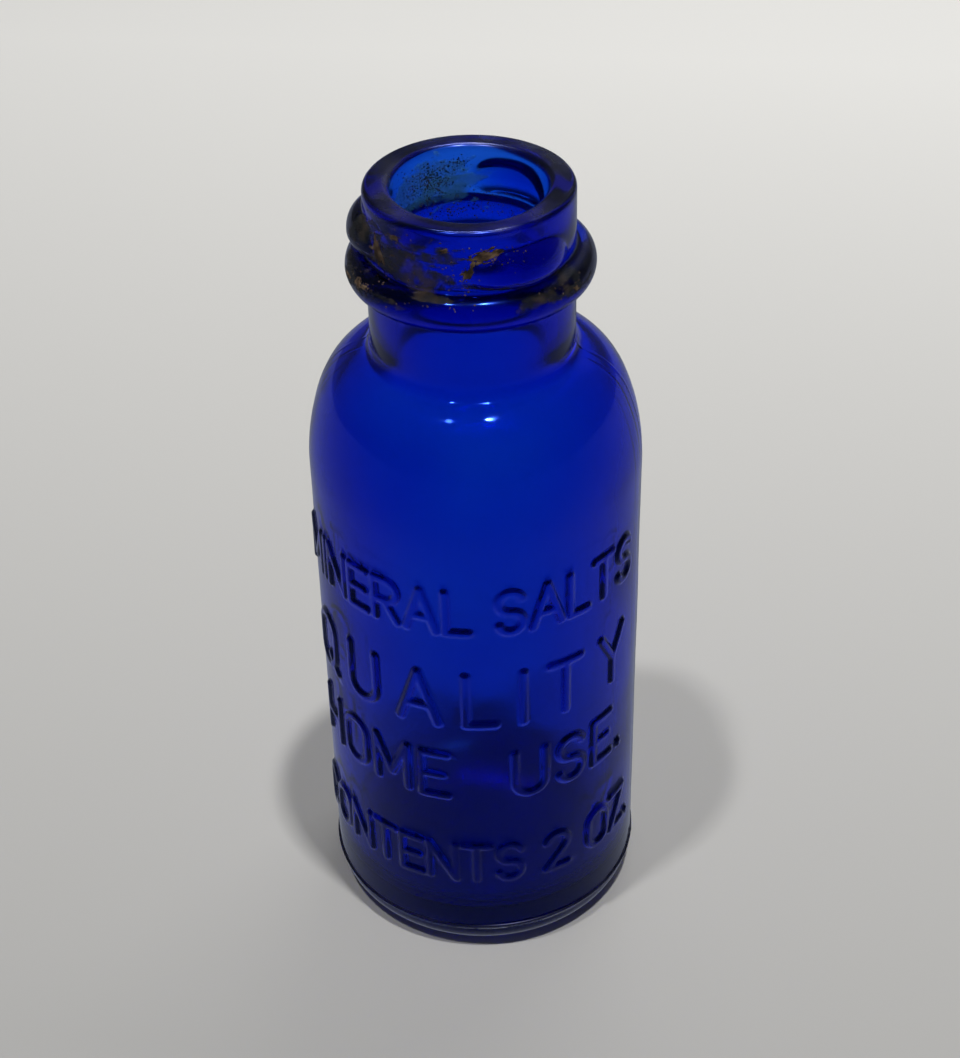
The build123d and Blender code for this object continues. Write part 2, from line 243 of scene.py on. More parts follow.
round_top = bow(0.29, 0.71, 0.29, 0, 180)
round_bottom = bow(0.29, 0.29, 0.29, 180, 180)
oval = round_top + line((0, 0.71), (0, 0.29)) + round_bottom + line((0.58, 0.29), (0.58, 0.71))
letters = {  # letter: (width, strokes)
    "A": (0.64, line((0, 0), (0.32, 1), (0.64, 0)) + line((0.11, 0.34), (0.53, 0.34))),
    "C": (0.56, bow(0.29, 0.71, 0.29, 20, 160) + line((0, 0.71), (0, 0.29))
          + bow(0.29, 0.29, 0.29, 180, 160)),
    "E": (0.48, line((0.48, 1), (0, 1), (0, 0), (0.48, 0)) + line((0, 0.5), (0.4, 0.5))),
    "H": (0.56, line((0, 0), (0, 1)) + line((0.56, 0), (0.56, 1)) + line((0, 0.5), (0.56, 0.5))),
    "I": (0.0, line((0, 0), (0, 1))),
    "L": (0.46, line((0, 1), (0, 0), (0.46, 0))),
    "M": (0.68, line((0, 0), (0, 1), (0.34, 0.25), (0.68, 1), (0.68, 0))),
    "N": (0.58, line((0, 0), (0, 1), (0.58, 0), (0.58, 1))),
    "O": (0.58, oval),
    "Q": (0.62, oval + line((0.36, 0.24), (0.62, -0.04))),
    "R": (0.54, line((0.28, 0.48), (0, 0.48)) + line((0, 0), (0, 1), (0.28, 1))
          + bow(0.28, 0.74, 0.26, -90, 180) + line((0.26, 0.48), (0.54, 0))),
    "S": (0.52, bow(0.26, 0.75, 0.25, 20, 250) + bow(0.26, 0.25, 0.25, -160, 250)),
    "T": (0.56, line((0, 1), (0.56, 1)) + line((0.28, 1), (0.28, 0))),
    "U": (0.58, line((0, 1), (0, 0.29)) + round_bottom + line((0.58, 0.29), (0.58, 1))),
    "Y": (0.6, line((0, 1), (0.3, 0.48), (0.6, 1)) + line((0.3, 0.48), (0.3, 0))),
    "Z": (0.54, line((0, 1), (0.54, 1), (0, 0), (0.54, 0))),
    "2": (0.54, bow(0.26, 0.74, 0.26, -35, 200) + line((0.473, 0.591), (0, 0), (0.54, 0))),
    ".": (0.0, line((0, 0), (0, 0.05))),
    " ": (0.2, []),
}
print(len(letters), "letters drawn")


# %% How far a point is from a stroke
def to_line(x, y, start, end):
    across, up = end[0] - start[0], end[1] - start[1]
    along = ((x - start[0]) * across + (y - start[1]) * up) / (across * across + up * up)
    along = min(1.0, max(0.0, along))
    return math.hypot(x - start[0] - along * across, y - start[1] - along * up)


def to_bow(x, y, circle, span):
    angle = math.degrees(math.atan2(y - circle[1], x - circle[0]))
    if (angle - span[0]) % 360 <= span[1]:
        return abs(math.hypot(x - circle[0], y - circle[1]) - circle[2])
    ends = (polar(circle, circle[2], span[0]), polar(circle, circle[2], span[0] + span[1]))
    return min(math.hypot(x - end[0], y - end[1]) for end in ends)


def nearest_stroke(x, y, strokes):
    return min(
        to_line(x, y, first, second) if kind == "line" else to_bow(x, y, first, second)
        for kind, first, second in strokes
    )


# %% Set the four lines around the front
line_gaps = {
    "lettering_line_1": ("MINERAL SALTS", 0.20),
    "lettering_line_2": ("QUALITY", 0.46),
    "lettering_line_3": ("HOME  USE.", 0.28),
    "lettering_line_4": ("CONTENTS 2 OZ.", 0.19),
}
line_heights = {
    "lettering_line_1": 5.8 * MM, "lettering_line_2": 7.6 * MM,
    "lettering_line_3": 6.8 * MM, "lettering_line_4": 5.8 * MM,
}
STROKE_SHARE = 0.16  # a stroke's width as a share of the letter's height
WAVER = 0.10  # how far a letter stands off its line, in mm
SHALLOW, DEEP = 0.32, 0.43  # relief in mm
hand = random.Random(7)
signs = []  # one entry a letter: left edge along the wall, foot, height, strokes, relief
for node, (text, gap) in line_gaps.items():
    height = line_heights[node]
    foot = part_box(node)[1][2] - height * (1 + STROKE_SHARE / 2)
    along = -(sum(letters[sign][0] + gap for sign in text) - gap) / 2
    for sign in text:
        width, strokes = letters[sign]
        if strokes:
            waver = hand.uniform(-WAVER, WAVER) * MM
            depth = hand.uniform(SHALLOW, DEEP) * MM
            signs.append((along * height, foot + waver, height, width, strokes, depth))
        along += width + gap
print(len(signs), "letters to raise")

# %% [markdown]
# Letters need a fine mesh and the rest of the wall doesn't, so only the faces near a letter are
# divided. The operator cuts each of their edges in five and fills them with a grid.

# %% Divide the wall near the letters and lift it
SOFT_EDGE = 0.74 * MM  # from a stroke's middle to where its slope ends
FLAT_CREST = 0.26 * MM  # from a stroke's middle to where its slope starts
FINE_MARGIN = 1.1 * MM  # width of the fine mesh around a letter
ON_WALL = 0.05 * MM  # how near a point must be to count as on the wall
SKIN = 0.1 * MM  # how far in the outer skin may lie


def near_sign(u, z, margin):
    for left, foot, height, width, _, _ in signs:
        if left - margin < u < left + width * height + margin:
            if foot - margin < z < foot + height + margin:
                return True
    return False


def unrolled(point):
    """Distance along the wall from the front's middle, and height."""
    return math.atan2(point.x, -point.y) * body_r, point.z


def on_outer_wall(point):
    return abs(math.hypot(point.x, point.y) - body_r) < ON_WALL and heel_r < point.z <= panel_top


fine = []
for face in glass_bm.faces:
    if all(on_outer_wall(v.co) for v in face.verts):
        if near_sign(*unrolled(face.calc_center_median()), FINE_MARGIN):
            fine.append(face)
edges = list(dict.fromkeys(edge for face in fine for edge in face.edges))
bmesh.ops.subdivide_edges(glass_bm, edges=edges, cuts=4, use_grid_fill=True)


def letter_relief(u, z):
    lift = 0.0
    for left, foot, height, width, strokes, depth in signs:
        if left - SOFT_EDGE < u < left + width * height + SOFT_EDGE:
            if foot - 2 * SOFT_EDGE < z < foot + height + SOFT_EDGE:
                gap = nearest_stroke((u - left) / height, (z - foot) / height, strokes) * height
                rise = min(1.0, max(0.0, (SOFT_EDGE - gap) / (SOFT_EDGE - FLAT_CREST)))
                lift = max(lift, depth * rise * rise * (3 - 2 * rise))
    return lift


raised = 0
for vert in glass_bm.verts:
    radius = math.hypot(vert.co.x, vert.co.y)
    if heel_seam_z < vert.co.z < panel_top and radius > body_r - SKIN:
        lift = letter_relief(*unrolled(vert.co))
        scale = (body_r + lift) / radius
        vert.co.x *= scale
        vert.co.y *= scale
        raised += lift > 0
print("raised points", raised, "faces", len(glass_bm.faces))

# %% [markdown]
# ## Thread lugs
#
# Three short lugs held the metal cap. Each is a lens: a thick ring about an axis of its own, off
# the bottle's axis, so both its ends run out into the wall. The wall is pushed out to that ring,
# and where the two meet, a soft maximum stands for the fillet that molten glass always leaves.

# %% Push the lugs out of the finish
lug_boxes = {name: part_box(f"cap_lug_{name}") for name in ("right", "rear", "left")}
lug_low, lug_high = lug_boxes["left"][0][2], lug_boxes["left"][1][2]
LUG_CREST = 0.40  # height of the crest as a share of the lug's height
FIRST_LUG, LUG_STEP, LUG_HALF_TURN = 37.0, 120.0, 31.0  # degrees about the bottle's axis
LUG_RELIEF = 1.9 * MM
LUG_BULGE = 2.2 * MM  # depth of the rounding above and below the crest
LUG_BLEND = 0.35 * MM  # size of the fillet
LUG_REACH = 1.2  # radians past which a lug is never looked for

lug_crest_z = lug_low + LUG_CREST * (lug_high - lug_low)
lug_half_turn = math.radians(LUG_HALF_TURN)
lug_turns = [math.radians(FIRST_LUG + LUG_STEP * k) for k in range(len(lug_boxes))]
lug_tip = finish_r + LUG_RELIEF
lug_offset = (lug_tip**2 - finish_r**2) / (2 * (lug_tip - finish_r * math.cos(lug_half_turn)))


def lug_radius(turn, z):
    """Distance of the nearest lug's face from the bottle's axis, or 0 where there is none."""
    above = z > lug_crest_z
    reach_z = (lug_high - lug_crest_z + 0.3 * MM) if above else (lug_crest_z - lug_low + 0.1 * MM)
    fall = abs(z - lug_crest_z) / reach_z
    if fall >= 1:
        return 0.0
    depth = (1 - math.sqrt(1 - fall**2)) * LUG_BULGE
    ring = lug_tip - lug_offset - depth
    best = 0.0
    for centre in lug_turns:
        away = (turn - centre + math.pi) % math.tau - math.pi
        under = ring**2 - (lug_offset * math.sin(away)) ** 2
        if abs(away) < LUG_REACH and under > 0:
            best = max(best, lug_offset * math.cos(away) + math.sqrt(under))
    return best


def soft_max(a, b, blend):
    return (a + b + math.sqrt((a - b) ** 2 + blend**2)) / 2


finish_low = bead_z + nook_rise


def finish_surface(turn, z):
    """Radius of the finish with its lugs, at an angle from the front."""
    lug = lug_radius(turn, z)
    plain = soft_max(finish_r, 0, LUG_BLEND)
    return finish_r + max(0.0, soft_max(finish_r, lug, LUG_BLEND) - plain)


near_lugs = []
for face in glass_bm.faces:
    middle = face.calc_center_median()
    outside = math.hypot(middle.x, middle.y) > finish_r - SKIN
    if outside and finish_low < middle.z < mouth_z - lip_outer_r:
        if lug_radius(math.atan2(middle.x, -middle.y), middle.z) > finish_r - 0.6 * MM:
            near_lugs.append(face)
edges = list(dict.fromkeys(edge for face in near_lugs for edge in face.edges))
bmesh.ops.subdivide_edges(glass_bm, edges=edges, cuts=1, use_grid_fill=True)
for vert in glass_bm.verts:
    radius = math.hypot(vert.co.x, vert.co.y)
    if radius > finish_r - SKIN and finish_low < vert.co.z < mouth_z - lip_outer_r:
        scale = finish_surface(math.atan2(vert.co.x, -vert.co.y), vert.co.z) / radius
        vert.co.x *= scale
        vert.co.y *= scale
print("lug faces", len(near_lugs), "faces", len(glass_bm.faces))

# %% [markdown]
# ## Seams and unevenness
#
# Two mould halves leave a fine upright line on each side, and the base plate leaves a ring just
# above the heel. Old glass also cooled unevenly: the outside waves a few hundredths of a
# millimetre and the inside, which no mould touched, a few tenths. These waves are what breaks up
# reflections and makes light swim inside the bottle, so they are in the mesh and not painted.

# %% Raise the seams
SEAM_RELIEF, SEAM_HALF = 0.05 * MM, 0.40 * MM
RING_RELIEF, RING_HALF = 0.22 * MM, 0.42 * MM
SEAM_BAND = 2.2 * MM  # a level edge that is centred this near the seam is divided
LEVEL = 0.01 * MM

beside_seam = []
for edge in glass_bm.edges:
    one, other = (v.co for v in edge.verts)
    outside = min(one.xy.length, other.xy.length) > neck_r - SKIN
    if abs(one.z - other.z) < LEVEL and outside and heel_r < one.z < bead_low:
        if abs(one.y + other.y) < SEAM_BAND and abs(one.y) < 0.1 * abs(one.x):
            beside_seam.append(edge)
bmesh.ops.subdivide_edges(glass_bm, edges=beside_seam, cuts=4)


def ridge(distance, half):
    return math.cos(math.pi / 2 * distance / half) ** 2 if distance < half else 0.0


for vert in glass_bm.verts:
    radius, z = vert.co.xy.length, vert.co.z
    lift = 0.0
    if radius > neck_r - SKIN and heel_seam_z < z < bead_low:
        if z < panel_top or radius > neck_r:
            lift += SEAM_RELIEF * ridge(abs(vert.co.y), SEAM_HALF)
    if radius > body_r - SKIN:
        lift += RING_RELIEF * ridge(abs(z - heel_seam_z), RING_HALF)
    if lift:
        vert.co.x *= (radius + lift) / radius
        vert.co.y *= (radius + lift) / radius
print("seam edges", len(beside_seam), "faces", len(glass_bm.faces))


# %% Let the wall wave, more inside than outside
OUTER_WAVE, INNER_WAVE = 0.05 * MM, 0.30 * MM
OUTER_LENGTH, INNER_LENGTH, PATCH_LENGTH = 11 * MM, 15 * MM, 3.5 * MM
INNER_MATT, LIP_MATT, RING_MATT = 0.35, 0.9, 0.55
LIP_WEAR_FROM, LIP_WEAR_TO = 1.6 * MM, 0.5 * MM  # below the mouth
SEDIMENT_FROM, SEDIMENT_TO = 12 * MM, 7 * MM  # above the ground
STILL_BELOW = 6 * MM  # the outside grows still towards the ground, so that it stands flat


def waves(point, size, seed):
    shifted = point / size + Vector((seed, 0.5 * seed, -seed))
    return noise.noise(shifted) + 0.4 * noise.noise(shifted * 2.3)


def smooth_step(low, high, value):
    share = min(1.0, max(0.0, (value - low) / (high - low)))
    return share * share * (3 - 2 * share)


glass_bm.normal_update()
matt_layer = glass_bm.verts.layers.float.new("matt")
shifts = {}
for vert in glass_bm.verts:
    out = Vector((vert.co.x, vert.co.y, 0))
    inward = -vert.normal.dot(out.normalized()) if out.length > 0.1 * MM else 0.0
    inner = smooth_step(-0.2, 0.5, inward)
    if vert.co.z < base_top and vert.normal.z > 0.3:
        inner = 1.0
    worn_lip = smooth_step(mouth_z - LIP_WEAR_FROM, mouth_z - LIP_WEAR_TO, vert.co.z)
    sediment = inner * smooth_step(SEDIMENT_FROM, SEDIMENT_TO, vert.co.z)
    patchy = 0.65 + 0.5 * waves(vert.co, PATCH_LENGTH, 1.3)
    vert[matt_layer] = max(INNER_MATT * inner, LIP_MATT * worn_lip * patchy, sediment)
    if bead_low < vert.co.z < bead_high and out.length > finish_r:
        vert[matt_layer] = RING_MATT * patchy
    still = smooth_step(0, STILL_BELOW, vert.co.z) if inner < 0.5 else 1.0
    outer_wave = OUTER_WAVE * waves(vert.co, OUTER_LENGTH, 3.1) * still
    inner_wave = INNER_WAVE * waves(vert.co, INNER_LENGTH, 8.7)
    shifts[vert] = vert.normal * (outer_wave * (1 - inner) + inner_wave * inner)
for vert, shift in shifts.items():
    vert.co += shift
print("largest wave", round(max(s.length for s in shifts.values()) / MM, 3), "mm")

# %% [markdown]
# ## One mesh for all the glass
#
# The new skin stands for every glass node: walls, ring, lip, lugs, seams and letters. It goes all
# round the glass. Just above the heel's curve it doubles back by a tenth of a millimetre, which
# leaves edges there that four faces share. Its normals face out of the glass, and shading is
# smooth, since nothing on a moulded bottle has a hard edge.

# %% Make the glass object
def piece_from(bm, name, *nodes, slot):
    mesh = bpy.data.meshes.new(name)
    bm.to_mesh(mesh)
    mesh.shade_smooth()
    piece = bpy.data.objects.new(name, mesh)
    bpy.context.scene.collection.objects.link(piece)
    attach(piece, "root")
    if nodes:
        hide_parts(*nodes)
    return piece


glass_nodes = [n for n in frame["nodes"] if not n.startswith(("rust", "mouth_residue"))]
glass = piece_from(glass_bm, "bottle_glass", *glass_nodes, slot="cobalt_glass")
odd_edges = sum(not edge.is_manifold for edge in glass_bm.edges)
print("replaces", len(glass_nodes), "nodes; odd edges", odd_edges, "faces", len(glass.data.polygons))

# %% [markdown]
# ## What age has left on it
#
# The metal cap rusted to the bottle. Flakes of rust still cling under the lip, beside a lug and on
# the ring, with a thin dark film of dirt around them. Inside the mouth, dried contents left specks
# and a pale haze. Each flake, film or haze is a small patch of grid trimmed to a ragged outline,
# laid on the glass by casting rays at it, and thickened.

# %% Lay a ragged patch on the glass
PATCH_REACH = 0.78  # where an even patch would end, as a share of its grid
BLOT, FRAY = 1.7, 5.1  # how often the outline wanders across a grid, coarse and fine
SUNK = 0.04 * MM  # how deep a patch's back lies in the glass
START_OUTSIDE = 30 * MM  # rays at the outside start this far from the axis
glass_tree = BVHTree.FromBMesh(glass_bm)


def onto_glass(turn, z, outside=True):
    """Point and normal of the glass at an angle from the front and a height."""
    out = Vector((math.sin(turn), -math.cos(turn), 0))
    origin = out * (START_OUTSIDE if outside else 0) + Vector((0, 0, z))
    point, normal, _, _ = glass_tree.ray_cast(origin, -out if outside else out)
    return point, normal


def lay_patch(bm, degrees, z, across, tall, tilt, seed, thick, outside=True, rag=0.55, cells=26):
    """Adds one thickened flake, across and tall its size along the glass, turned by tilt."""
    depth = bm.verts.layers.float.get("depth") or bm.verts.layers.float.new("depth")
    grid = bmesh.ops.create_grid(bm, x_segments=cells, y_segments=cells, size=1.0)["verts"]

    def share(co):
        blot = noise.noise(Vector((co.x * BLOT, co.y * BLOT, seed)))
        fray = noise.noise(Vector((co.x * FRAY, co.y * FRAY, -seed)))
        return PATCH_REACH - math.hypot(co.x, co.y) + rag * blot + 0.5 * rag * fray

    height = {v: share(v.co) for v in grid}
    faces = dict.fromkeys(f for v in grid for f in v.link_faces)
    lost = [f for f in faces if min(height[v] for v in f.verts) < 0]
    bmesh.ops.delete(bm, geom=lost, context="FACES")
    kept = [v for v in grid if v.is_valid]
    radius = finish_r if outside else bore_r
    slope = math.radians(tilt)
    for v in kept:
        u, w = v.co.x * across / 2, v.co.y * tall / 2
        turn = math.radians(degrees) + (u * math.cos(slope) - w * math.sin(slope)) / radius
        point, normal = onto_glass(turn, z + u * math.sin(slope) + w * math.cos(slope), outside)
        grain = 0.6 + 0.7 * noise.noise(v.co * 9 + Vector((0, 0, seed)))
        v[depth] = smooth_step(0.0, 0.5, height[v])
        v.co = point + normal * thick * grain * smooth_step(-0.1, 0.45, height[v])
    tops = list(dict.fromkeys(f for v in kept for f in v.link_faces))
    back = bmesh.ops.extrude_face_region(bm, geom=tops, use_keep_orig=True)["geom"]
    for v in back:
        if isinstance(v, bmesh.types.BMVert):
            turn = math.atan2(v.co.x, -v.co.y)
            point, normal = onto_glass(turn, v.co.z, outside)
            v.co = point - normal * SUNK


print("ready to lay flakes")

# %% Crumbs too small for an outline
def crumbs(bm, clouds, smallest, largest, outside, seed):
    """Scatters flat grains; a cloud is angle, height, both spreads and a count."""
    dirt = random.Random(seed)
    depth = bm.verts.layers.float.get("depth") or bm.verts.layers.float.new("depth")
    low, high = bead_z - 1.6 * MM, mouth_z - 1.0 * MM
    for degrees, rise, spread, tall, count in clouds:
        for _ in range(count):
            turn = math.radians(dirt.gauss(degrees, spread / 2))
            z = min(high, max(low, bead_z + dirt.gauss(rise, tall / 2) * MM))
            point, normal = onto_glass(turn, z, outside)
            size = dirt.uniform(smallest, largest) * MM
            made = bmesh.ops.create_icosphere(bm, subdivisions=1, radius=size)["verts"]
            flat = Matrix.Diagonal((dirt.uniform(0.8, 2.0), dirt.uniform(0.7, 1.3), 0.35, 1.0))
            turned = normal.to_track_quat("Z", "Y").to_matrix().to_4x4()
            spun = Matrix.Rotation(dirt.uniform(0, math.tau), 4, "Z")
            placed = Matrix.Translation(point) @ turned @ spun @ flat
            bmesh.ops.transform(bm, matrix=placed, verts=made)
            for vert in made:
                vert[depth] = 1.0


# %% Rust flakes on the finish and the ring
def crust(name, node, patches, clouds, seed, thick, rag=0.6):
    bm = bmesh.new()
    for number, (degrees, z, across, tall, tilt) in enumerate(patches):
        lay_patch(bm, degrees, z, across * MM, tall * MM, tilt, seed + 3.7 * number, thick, True, rag)
    crumbs(bm, clouds, 0.03, 0.10, True, seed)
    bmesh.ops.recalc_face_normals(bm, faces=bm.faces[:])
    piece = piece_from(bm, name, node, slot="rust_crust")
    print(name, "faces", len(bm.faces), "open edges", sum(not e.is_manifold for e in bm.edges))
    bm.free()
    return piece


finish_flakes = [  # degrees from the front, height, width, height of the flake in mm, tilt
    (7.0, bead_z + 5.2 * MM, 4.2, 1.4, 58),
    (17.5, bead_z + 7.1 * MM, 6.4, 1.6, 16),
    (-49, bead_z + 5.0 * MM, 2.4, 5.6, 8),
    (-36, bead_z + 7.6 * MM, 3.0, 1.1, -8),
    (-6, bead_z + 7.4 * MM, 2.0, 0.9, 10),
]
bead_flakes = [
    (-54, bead_z + 0.9 * MM, 2.8, 1.2, 5),
    (-66, bead_z + 0.4 * MM, 2.0, 1.0, 0),
    (62, bead_z + 0.6 * MM, 1.8, 0.9, -6),
]
finish_dust = [  # degrees, height over the ring, both spreads, number of grains
    (-42, 5.0, 22, 3.6, 120),
    (-14, 6.4, 40, 2.4, 70),
    (6, 3.6, 12, 1.8, 40),
    (30, 6.6, 20, 1.2, 26),
]
bead_dust = [(-50, 0.9, 18, 1.0, 60), (-10, 1.5, 16, 0.5, 12), (56, 0.8, 16, 1.2, 24)]
rust_finish = crust("rust_under_lip", "rust_on_finish", finish_flakes, finish_dust, 2, 0.12 * MM)
rust_bead = crust("rust_on_ring", "rust_on_bead", bead_flakes, bead_dust, 9, 0.10 * MM)

# %% A thin film of dirt around them, and a pale haze inside the mouth
def thin_layer(name, slot, patches, seed, step, thick, **how):
    """Patches given as degrees, height over the ring, width and height in mm, and tilt."""
    bm = bmesh.new()
    for number, (degrees, rise, across, tall, tilt) in enumerate(patches):
        z = bead_z + rise * MM
        own_seed = seed + step * number
        lay_patch(bm, degrees, z, across * MM, tall * MM, tilt, own_seed, thick, cells=44, **how)
    bmesh.ops.recalc_face_normals(bm, faces=bm.faces[:])
    piece = piece_from(bm, name, slot=slot)
    print(name, "faces", len(bm.faces))
    return piece


films = [
    (-30, 4.6, 17.0, 7.0, 0),
    (-12, 6.6, 15.0, 2.6, 0),
    (14, 3.0, 12.0, 2.8, -6),
    (-62, 6.4, 8.0, 4.6, 20),
    (-58, 0.9, 15.0, 3.8, 0),
    (58, 0.9, 14.0, 3.8, 0),
    (-10, 2.0, 9.0, 0.8, 0),
]
hazes = [(-128, 5.6, 20.0, 8.0, 0), (-158, 4.4, 14.0, 6.0, -20)]
film = thin_layer("dirt_film", "rust_crust", films, 31, 5.3, 0.03 * MM, rag=0.8)
haze = thin_layer("mouth_haze", "dried_residue", hazes, 63, 4.1, 0.02 * MM, outside=False, rag=0.9)

# %% Dried specks inside the mouth
speck_bm = bmesh.new()
speck_clouds = [
    (-144, 5.9, 17, 2.2, 520), (-163, 7.4, 10, 0.8, 80), (-122, 4.8, 26, 3.2, 260),
    (-150, 1.4, 46, 1.0, 160), (170, 2.6, 60, 2.2, 220),
]
crumbs(speck_bm, speck_clouds, 0.03, 0.095, False, 21)
specks = piece_from(speck_bm, "dried_specks", "mouth_residue", slot="dried_residue")
print("specks faces", len(speck_bm.faces))

# %% [markdown]
# ## Cobalt glass
#
# The colour of this glass is not a paint on its surface: cobalt oxide in the melt swallows red at
# once, green more slowly and blue hardly at all. So the surface is clear, and an absorbing volume
# fills the wall. Thin places such as the finish turn azure, and two walls in a row turn navy, with
# no further work. The surface only carries what age did: fine scuffs that blur it a little.

# %% The glass material
def new_material(name):
    material = bpy.data.materials.new(name)
    material.use_nodes = True
    nodes = material.node_tree.nodes
    return material, nodes, material.node_tree.links, nodes["Principled BSDF"]


def noise_mask(nodes, links, scale, low, high, detail=4.0, stretch=(1, 1, 1)):
    """A procedural mask, 0 to 1, from object coordinates."""
    coordinates = nodes.new("ShaderNodeTexCoord")
    mapping = nodes.new("ShaderNodeMapping")
    mapping.inputs["Scale"].default_value = stretch
    texture = nodes.new("ShaderNodeTexNoise")
    texture.inputs["Scale"].default_value = scale
    texture.inputs["Detail"].default_value = detail
    limits = nodes.new("ShaderNodeMapRange")
    limits.interpolation_type = "SMOOTHSTEP"
    limits.inputs["From Min"].default_value = low
    limits.inputs["From Max"].default_value = high
    links.new(coordinates.outputs["Object"], mapping.inputs["Vector"])
    links.new(mapping.outputs["Vector"], texture.inputs["Vector"])
    links.new(texture.outputs["Fac"], limits.inputs["Value"])
    return limits.outputs["Result"]


cobalt, nodes, links, shader = new_material("cobalt_glass")
shader.inputs["Base Color"].default_value = (0.92, 0.95, 1.0, 1)
shader.inputs["IOR"].default_value = 1.52
shader.inputs["Transmission Weight"].default_value = 1.0
scuffs = noise_mask(nodes, links, 260, 0.45, 0.75)
outside_blur = nodes.new("ShaderNodeMapRange")
outside_blur.inputs["To Min"].default_value = 0.03
outside_blur.inputs["To Max"].default_value = 0.12
matt = nodes.new("ShaderNodeAttribute")
matt.attribute_name = "matt"
roughness = nodes.new("ShaderNodeMix")
roughness.inputs[3].default_value = 0.36
links.new(scuffs, outside_blur.inputs["Value"])
links.new(matt.outputs["Fac"], roughness.inputs[0])
links.new(outside_blur.outputs["Result"], roughness.inputs[2])
links.new(roughness.outputs[0], shader.inputs["Roughness"])
tint = nodes.new("ShaderNodeMix")
tint.data_type = "RGBA"
tint.inputs["A"].default_value = (0.03, 0.12, 1.0, 1)
tint.inputs["B"].default_value = (1, 1, 1, 1)
pale_share = nodes.new("ShaderNodeMapRange")
pale_share.inputs["From Min"].default_value = 0.36
pale_share.inputs["From Max"].default_value = 0.90
pale_share.inputs["To Max"].default_value = 0.60
links.new(matt.outputs["Fac"], pale_share.inputs["Value"])
links.new(pale_share.outputs["Result"], tint.inputs["Factor"])
links.new(tint.outputs["Result"], shader.inputs["Specular Tint"])

ABSORB_PER_MM = (1.50, 0.72, 0.10)  # red, green, blue
absorb = nodes.new("ShaderNodeVolumeAbsorption")
strongest = max(ABSORB_PER_MM)
absorb.inputs["Color"].default_value = tuple(1 - a / strongest for a in ABSORB_PER_MM) + (1,)
absorb.inputs["Density"].default_value = strongest / MM
links.new(absorb.outputs["Volume"], nodes["Material Output"].inputs["Volume"])
glass.data.materials.append(cobalt)
print("absorbs", ABSORB_PER_MM, "per mm")

# %% Rust and dried dirt
rust, nodes, links, shader = new_material("rust_crust")
ramp = nodes.new("ShaderNodeValToRGB")
ramp.color_ramp.elements[0].color = (0.018, 0.012, 0.009, 1)
ramp.color_ramp.elements[1].color = (0.13, 0.090, 0.060, 1)
ramp.color_ramp.elements.new(0.5).color = (0.07, 0.042, 0.024, 1)
links.new(noise_mask(nodes, links, 900, 0.30, 0.70), ramp.inputs["Fac"])
links.new(ramp.outputs["Color"], shader.inputs["Base Color"])
shader.inputs["Roughness"].default_value = 0.9


def fade(nodes, links, scale, start, full, most):
    """Opacity that grows from a patch's ragged edge inwards, broken up by grain."""
    depth = nodes.new("ShaderNodeAttribute")
    depth.attribute_name = "depth"
    total = nodes.new("ShaderNodeMath")
    total.operation = "ADD"
    opacity = nodes.new("ShaderNodeMapRange")
    opacity.interpolation_type = "SMOOTHSTEP"
    opacity.inputs["From Min"].default_value = start
    opacity.inputs["From Max"].default_value = full
    opacity.inputs["To Max"].default_value = most
    links.new(depth.outputs["Fac"], total.inputs[0])
    links.new(noise_mask(nodes, links, scale, 0.3, 0.7), total.inputs[1])
    links.new(total.outputs["Value"], opacity.inputs["Value"])
    return opacity.outputs["Result"]


links.new(fade(nodes, links, 1400, 0.35, 1.1, 1.0), shader.inputs["Alpha"])
rust_finish.data.materials.append(rust)
rust_bead.data.materials.append(rust)

dirt_material, nodes, links, shader = new_material("dirt_film")
ramp = nodes.new("ShaderNodeValToRGB")
ramp.color_ramp.elements[0].color = (0.008, 0.009, 0.010, 1)
ramp.color_ramp.elements[1].color = (0.055, 0.038, 0.026, 1)
links.new(noise_mask(nodes, links, 420, 0.46, 0.74), ramp.inputs["Fac"])
links.new(ramp.outputs["Color"], shader.inputs["Base Color"])
shader.inputs["Roughness"].default_value = 0.55
links.new(fade(nodes, links, 700, 0.5, 1.6, 0.70), shader.inputs["Alpha"])
film.data.materials.append(dirt_material)

residue, nodes, links, shader = new_material("dried_residue")
ramp = nodes.new("ShaderNodeValToRGB")
ramp.color_ramp.elements[0].color = (0.005, 0.006, 0.007, 1)
ramp.color_ramp.elements[1].color = (0.04, 0.035, 0.03, 1)
links.new(noise_mask(nodes, links, 600, 0.35, 0.70), ramp.inputs["Fac"])
links.new(ramp.outputs["Color"], shader.inputs["Base Color"])
shader.inputs["Roughness"].default_value = 0.85
specks.data.materials.append(residue)

haze_material, nodes, links, shader = new_material("mouth_haze")
shader.inputs["Base Color"].default_value = (0.05, 0.22, 0.40, 1)
shader.inputs["Roughness"].default_value = 0.8
links.new(fade(nodes, links, 900, 0.3, 1.6, 0.38), shader.inputs["Alpha"])
haze.data.materials.append(haze_material)
print("materials", [m.name for m in bpy.data.materials])

# %% [markdown]
# ## Floor and light
#
# The floor is pale and plain, with painted shade that makes its colour darker towards the viewer
# and painted light that makes it paler further back. Two small lamps high in front light it and
# throw the two shadows, but are kept out of the glass's reflections. Dark glass shows its shape
# mostly through what it reflects: a strip behind and overhead gives the ring and the lip their bright
# lines, and a dim card just under the floor is what the glass mirrors in its place. A weak lamp
# behind and a faint room fill the rest.

# %% Floor, lamps and room
floor_bm = bmesh.new()
bmesh.ops.create_grid(floor_bm, x_segments=1, y_segments=1, size=3.0)
floor_mesh = bpy.data.meshes.new("floor")
floor_bm.to_mesh(floor_mesh)
floor = bpy.data.objects.new("floor", floor_mesh)
bpy.context.scene.collection.objects.link(floor)
floor.visible_glossy = False

